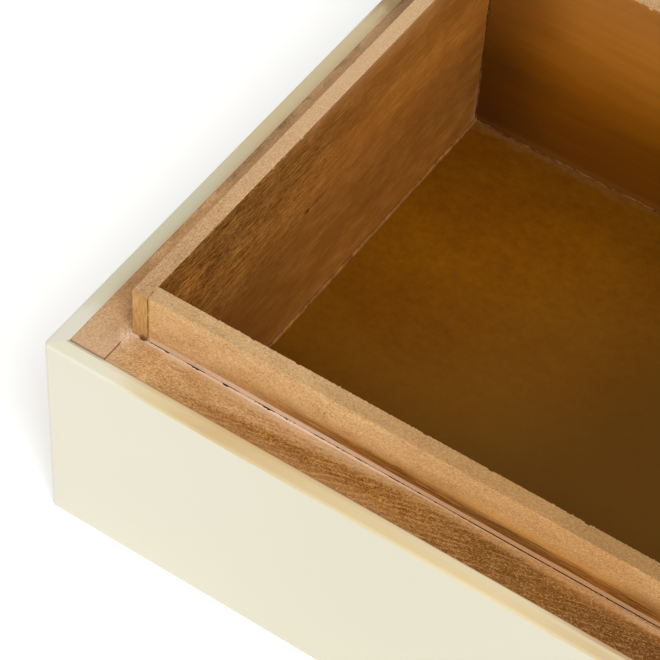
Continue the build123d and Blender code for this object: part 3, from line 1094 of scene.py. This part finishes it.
def seam_finish():
    """The glue in the liner's upright seams, stained dark in its upper part."""
    finish = Finish("seam_glue", IOR=1.5, Specular_IOR_Level=0.3)
    lumps = finish.noise((0.8, 0.8, 1.6), 3, 0.6)
    upper = (finish.z + (lumps - 0.5) * 3).rise(RIM + 4, RIM + 6) * finish.z.rise(LIP - 0.2, LIP - 0.35)
    pale = finish.ramp(lumps, (0.42, rgb(150, 104, 56)), (0.5, rgb(190, 148, 96)),
                       (0.6, rgb(224, 186, 132)))
    dark = finish.ramp(lumps, (0.46, rgb(92, 58, 12)), (0.54, rgb(140, 98, 34)),
                       (0.64, rgb(232, 196, 120)))
    return finish.wear(finish.blend(upper, pale, dark), 0.6, lumps * 0.2)


GLUE = glue_finish()
SEAM = seam_finish()
BEAD = bead_finish("lacquer_bead", rgb(128, 80, 30), rgb(168, 114, 58))
FILM = bead_finish("lacquer_film", rgb(84, 46, 10), rgb(140, 94, 50))
PATCH = bead_finish("joint_glue", rgb(196, 150, 106), rgb(244, 216, 190))
print("finishes:", ", ".join(finish.name for finish in (GLUE, SEAM, BEAD, FILM, PATCH)))

# %% [markdown]
# ## Lumpy strips
#
# A line of glue is never level. Most of the lines that follow are boards whose top points are raised and
# sunk by a smooth wander, quick lumps on slow ones. One function does it, because only the place, the
# amount and the seed differ.


# %% Lumps along a strip
def swell(board, runs, level, amount, seed):
    """Raise and sink the points near the top of a strip by a smooth wander, in millimetres."""
    for v in board.verts:
        if v.co.z > (level - 0.45) * MM:
            along = v.co[runs] / MM
            v.co.z += (drift(along, 0.5, seed, 1) + drift(along, 0.11, seed, 4)) * amount * MM


# %% [markdown]
# ## The crack in the glue
#
# The gap between core and liner is filled with glue, flush with the rim and a little proud of it near the
# corner. As it dried it shrank away from the liner and left a crack, which opens and closes along its
# length, with short wide stretches near the corner. A dark line in the material would look drawn, so the
# points beside the liner are sunk instead, and the shadow makes the line.

# %% Open the crack
CRACK = 0.1
CRACK_SHALLOW = 0.4
CRACK_DEEP = 0.7
CRACK_WIDEST = 0.3
NEAR_CORNER = 60
GLUE_RISE = 0.16
RISE_ENDS = 90
RECESS = LINER_INNER - 1.6
RECESS_HALF = 1.7
RECESS_DEEP = 0.3


def closed(along):
    """How hard the crack is to open: easy near the corner, harder, and then open all along."""
    if along < 50:
        return -0.05
    return 0.12 if along < 96 else -0.5


def crack(board, wall, seed):
    """Open a crack along the liner here and there, and let the glue sink at the very corner."""
    for v in board.verts:
        along = v.co[wall.runs] / MM - wall.start
        if v.co.z < (RIM - 1) * MM:
            continue
        v.co.z += max(0, 1 - along / RISE_ENDS) * GLUE_RISE * MM
        sunk = max(0, 1 - abs(along - RECESS) / RECESS_HALF)
        v.co.z -= min(1, sunk * 1.3) * RECESS_DEEP * MM
        from_liner = abs(v.co[wall.across] / MM - wall.at(LINER_OUTER))
        if from_liner < CRACK:
            open_by = drift(along, 0.22, seed, 6) * 1.1 + drift(along, 1.3, seed, 2) * 0.7 - closed(along)
            deepest = CRACK_SHALLOW if along < NEAR_CORNER else CRACK_DEEP
            v.co.z -= min(1, max(0, open_by) * 4) * deepest * MM
        elif from_liner < 2.6 * CRACK and along < NEAR_CORNER:
            wider = drift(along, 0.55, seed, 3) * 0.8 + drift(along, 1.7, seed, 7) * 0.5
            v.co[wall.across] += wall.outward * min(CRACK_WIDEST, max(0, wider)) * MM


print("the crack is up to", CRACK_DEEP, "mm deep and", CRACK + CRACK_WIDEST, "mm wide")

# %% [markdown]
# ## Glue behind the liner
#
# Each strip of glue is a board that fills the gap, laps a little over the core, and reaches a few
# millimetres down. The two short strips stop inside the long ones. All four are cut into steps of a quarter
# of a millimetre, because the crack wanders quickly.

# %% Glue behind the liner
GLUE_DOWN = 6
GLUE_LAPS = 0.2
GLUE_PROUD = 0.02
GLUE_EASE = 0.24
GLUE_WANDER = 0.06
for seed, side in enumerate(SIDES):
    wall = walls[side]
    low, high = extent(f"{side}_core")
    edges = (wall.at(CORE_INNER - GLUE_LAPS), wall.at(LINER_OUTER))
    low[wall.across] = min(edges)
    high[wall.across] = max(edges)
    low.z = RIM - GLUE_DOWN
    high.z = RIM + GLUE_PROUD
    if not wall.long:
        inset = CORE_INNER - CORE_OUTER + GLUE_LAPS
        low.y += inset
        high.y -= inset
    strip = plank(low, high, wall.runs, GLUE_EASE, 0, STEP / 2)
    swell(strip, wall.runs, RIM, GLUE_WANDER, seed)
    crack(strip, wall, seed)
    piece = put(strip, f"{side}_glue_line")
    coat(piece, GLUE)
    print(piece.name, "has", len(piece.data.vertices), "points")

# %% [markdown]
# ## Filled joints
#
# Glue stands in the butt joints too. In the top of the liner it fills the whole joint. In the rim of the
# core it shows only in the inner half, next to the wiped glue. Both are narrow strips laid over the joint,
# so one list of the two kinds and one loop make all eight.

# %% Filled joints
JOINT_HALF = 0.14


def span(first, second):
    """The lowest and the highest corner of the box between two points."""
    return Vector(map(min, first, second)), Vector(map(max, first, second))


# A name, the joint's plane, where the fill starts and ends, its top and foot, and its finish.
JOINTS = (
    ("liner_joint", LINER_INNER, LINER_OUTER + 0.2, LINER_INNER - 0.15, LIP - 0.12, RIM - 3, SEAM),
    ("core_joint", CORE_INNER, CORE_OUTER + 6.2, CORE_INNER - 0.1, RIM + 0.01, RIM - 4, PATCH),
)
for end in SHORT_SIDES:
    for side in LONG_SIDES:
        for name, plane, near, far, top, foot, finish in JOINTS:
            joint = walls[end].at(plane)
            first = (joint - JOINT_HALF, walls[side].at(near), foot)
            last = (joint + JOINT_HALF, walls[side].at(far), top)
            fill = plank(*span(first, last), 1, 0.08)
            swell(fill, 1, top, 0.08, joint)
            coat(put(fill, f"{side}_{end}_{name}"), finish)
print("joints filled:", len(SHORT_SIDES) * len(LONG_SIDES) * len(JOINTS))

# %% [markdown]
# ## Glue pressed out of the upright seams
#
# When the liner boards were pushed together, a little glue came out of each upright seam and dried as a
# lumpy thread on the back of the liner, above the rim. It is a strip that stands on end, whose outer side
# is pushed out by two layers of noise. Its inner side stays sunk in the board, so no gap can show.

# %% Seam glue
SEAM_HALF = 0.13
SEAM_DEEP = 0.6
for end in SHORT_SIDES:
    for side in LONG_SIDES:
        other = walls[side]
        seam = walls[end].at(LINER_INNER)
        skin = other.at(LINER_OUTER)
        first = (seam - SEAM_HALF, skin, RIM - 0.5)
        last = (seam + SEAM_HALF, skin - other.outward * SEAM_DEEP, LIP - 0.3)
        thread = plank(*span(first, last), 2, 0, 0, STEP / 2)
        for v in thread.verts:
            if abs(v.co.y - skin * MM) < 0.1 * MM:
                height = v.co.z / MM
                lump = drift(height, 0.4, seam, 3) + drift(height, 1.5, seam, 8)
                v.co.y += other.outward * (lump * 0.16 - 0.03) * MM
        coat(put(thread, f"{side}_{end}_seam_glue"), SEAM)
print("seams with glue:", len(SHORT_SIDES) * len(LONG_SIDES))

# %% [markdown]
# ## Lacquer beads round the floor
#
# Lacquer creeps into an inside corner before it sets. It left a bead where the floor meets each wall: thin
# and brown along the front and back, thicker and paler along the left and right. A tube would stand out of
# the corner, so each bead is a low strip with its top edges eased and its top lumpy.

# %% Floor beads
for seed, side in enumerate(SIDES):
    wall = walls[side]
    bead, wobble = (0.4, 0.4) if wall.long else (0.75, 0.35)
    reach = INSIDE_X if wall.long else INSIDE_Y
    edges = (wall.at(LINER_INNER), wall.at(LINER_INNER) - wall.outward * bead)
    low = Vector((0, 0, FLOOR - 0.1))
    high = Vector((0, 0, FLOOR + bead))
    low[wall.runs] = -reach
    high[wall.runs] = reach
    low[wall.across] = min(edges)
    high[wall.across] = max(edges)
    strip = plank(low, high, wall.runs, bead * 0.45)
    swell(strip, wall.runs, FLOOR + bead, wobble, seed + 30)
    coat(put(strip, f"{side}_floor_bead"), FILM if wall.long else BEAD)
print("floor beads:", len(SIDES))

# %% [markdown]
# ## Lacquer that ran down the inside corners
#
# The same lacquer ran down the four upright inside corners and set as a thin ragged film. Each is a square
# strip that fills the corner, with its open faces moved in and out. The move is held within limits, so the
# film never pulls away from the walls or folds over itself.

# %% Corner runs
RUN = 0.35
for end in SHORT_SIDES:
    for side in LONG_SIDES:
        wall, other = walls[end], walls[side]
        corner = Vector((wall.at(LINER_INNER), other.at(LINER_INNER), FLOOR))
        inner = corner - Vector((wall.outward, other.outward, 0)) * RUN
        inner.z = LIP - 2
        run = plank(*span(corner, inner), 2)
        for v in run.verts:
            height = v.co.z / MM
            slow = drift(height, 0.12, corner.x, corner.y) * 0.5
            quick = drift(height, 0.9, corner.x, corner.y) * 0.3
            if abs(v.co.x - inner.x * MM) < RUN / 2 * MM:
                v.co.x += wall.outward * max(-RUN, min(RUN * 0.8, slow + quick)) * MM
            if abs(v.co.y - inner.y * MM) < RUN / 2 * MM:
                v.co.y += other.outward * max(-RUN, min(RUN * 0.8, slow - quick)) * MM
        coat(put(run, f"{side}_{end}_corner_run"), FILM)
print("corner runs:", len(SHORT_SIDES) * len(LONG_SIDES))

# %% [markdown]
# ## Sheet and sky
#
# The box was photographed on white. A pale sheet under it and a white sky give the soft light from all
# round. The sheet glows a little, because a photographer would have lit it from the back as well. It is
# laid a hair below the box, so that the two never share a plane.

# %% Sheet and sky
WHITE = (1, 1, 1, 1)
SKY = 0.5
SHEET_GLOW = 0.3
SHEET_HALF = 3.0
SHEET_DROP = 0.1 * MM

world = bpy.data.worlds.new("studio")
bpy.context.scene.world = world
world.use_nodes = True
world.node_tree.nodes["Background"].inputs["Color"].default_value = WHITE
world.node_tree.nodes["Background"].inputs["Strength"].default_value = SKY

sheet_mesh = bpy.data.meshes.new("sheet")
sheet_shape = bmesh.new()
bmesh.ops.create_grid(sheet_shape, x_segments=8, y_segments=8, size=SHEET_HALF)
sheet_shape.to_mesh(sheet_mesh)
sheet_shape.free()
sheet = bpy.data.objects.new("sheet", sheet_mesh)
bpy.context.collection.objects.link(sheet)
paper = Finish("paper", Specular_IOR_Level=0.0, Emission_Strength=SHEET_GLOW, Emission_Color=WHITE)
tooth = paper.noise((3, 3, 3))
coat(sheet, paper.wear(paper.blend(tooth, rgb(250, 250, 249), rgb(247, 247, 246)), 0.9))
sheet.location.z = -SHEET_DROP
print("sheet", 2 * SHEET_HALF, "metres wide")

# %% [markdown]
# ## The lamp
#
# The shadows in the photograph fall to the left and the back, and they are soft. One large round lamp above
# the right front gives both: its place sets the direction, and its size the softness. It reaches the left
# wall and the floor of the box. The plain view transform keeps the colours as they were picked.

# %% Lamp
LAMP = 12.0
LAMP_ACROSS = 0.7
LAMP_PLACE = Vector((0.62, -0.62, 1.19))
lamp = bpy.data.objects.new("lamp", bpy.data.lights.new("lamp", "AREA"))
bpy.context.collection.objects.link(lamp)
lamp.data.shape = "DISK"
lamp.data.size = LAMP_ACROSS
lamp.data.energy = LAMP
lamp.location = LAMP_PLACE
lamp.rotation_mode = "QUATERNION"
lamp.rotation_quaternion = (-LAMP_PLACE).to_track_quat("-Z", "Y")
bpy.context.scene.view_settings.view_transform = "Standard"
print("lamp of", LAMP, "watts,", round(LAMP_PLACE.length, 2), "metres away")
